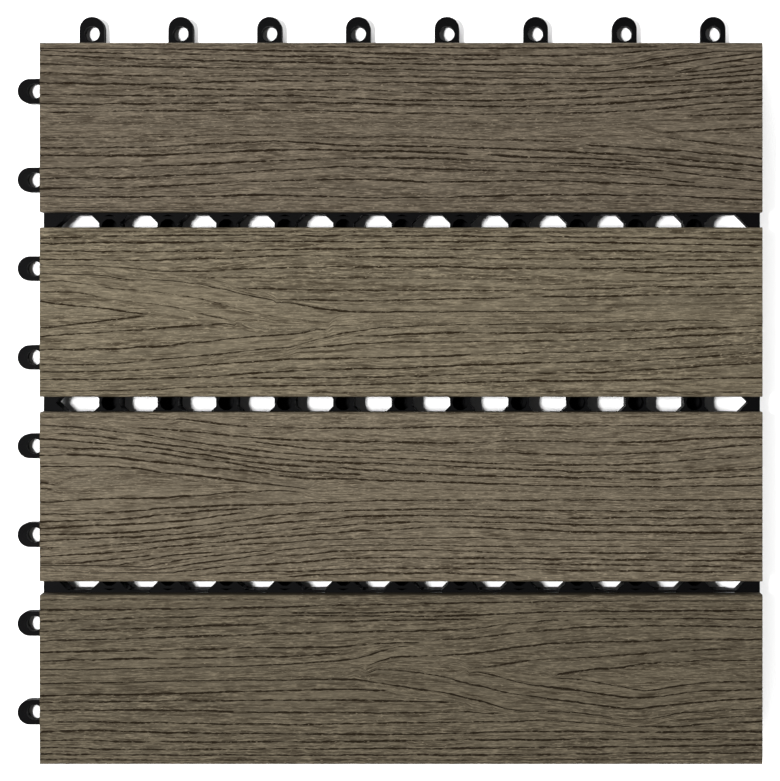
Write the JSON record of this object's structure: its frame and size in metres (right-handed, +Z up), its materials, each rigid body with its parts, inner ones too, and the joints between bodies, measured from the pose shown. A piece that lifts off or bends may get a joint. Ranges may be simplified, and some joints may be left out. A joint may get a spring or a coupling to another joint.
{
  "type": "interlocking deck tile",
  "caption": "Square outdoor deck tile: textured wood-composite slats screwed to a moulded plastic grid base with edge loops and pegs that lock tiles together.",
  "frame": {"origin": "middle of the tile on the ground, at the level of the feet's undersides", "axes": "+Z up, slats run along X, female loops stand out at -X and +Y, pegs hang under the edges at +X and -Y"},
  "size_m": [0.3126, 0.3126, 0.022],
  "materials": {
    "base_plastic": "satin moulded",
    "slat_composite": "embossed grain, matt",
    "screw_steel": "zinc plated"
  },
  "bodies": {
    "root": {"grid_base": "base_plastic", "deck_slat_1": "slat_composite", "deck_slat_2": "slat_composite", "deck_slat_3": "slat_composite", "deck_slat_4": "slat_composite", "slat_1_screw_1": "screw_steel", "slat_1_screw_2": "screw_steel", "slat_1_screw_3": "screw_steel", "slat_2_screw_1": "screw_steel", "slat_2_screw_2": "screw_steel", "slat_2_screw_3": "screw_steel", "slat_3_screw_1": "screw_steel", "slat_3_screw_2": "screw_steel", "slat_3_screw_3": "screw_steel", "slat_4_screw_1": "screw_steel", "slat_4_screw_2": "screw_steel", "slat_4_screw_3": "screw_steel"}
  },
  "joints": []
}
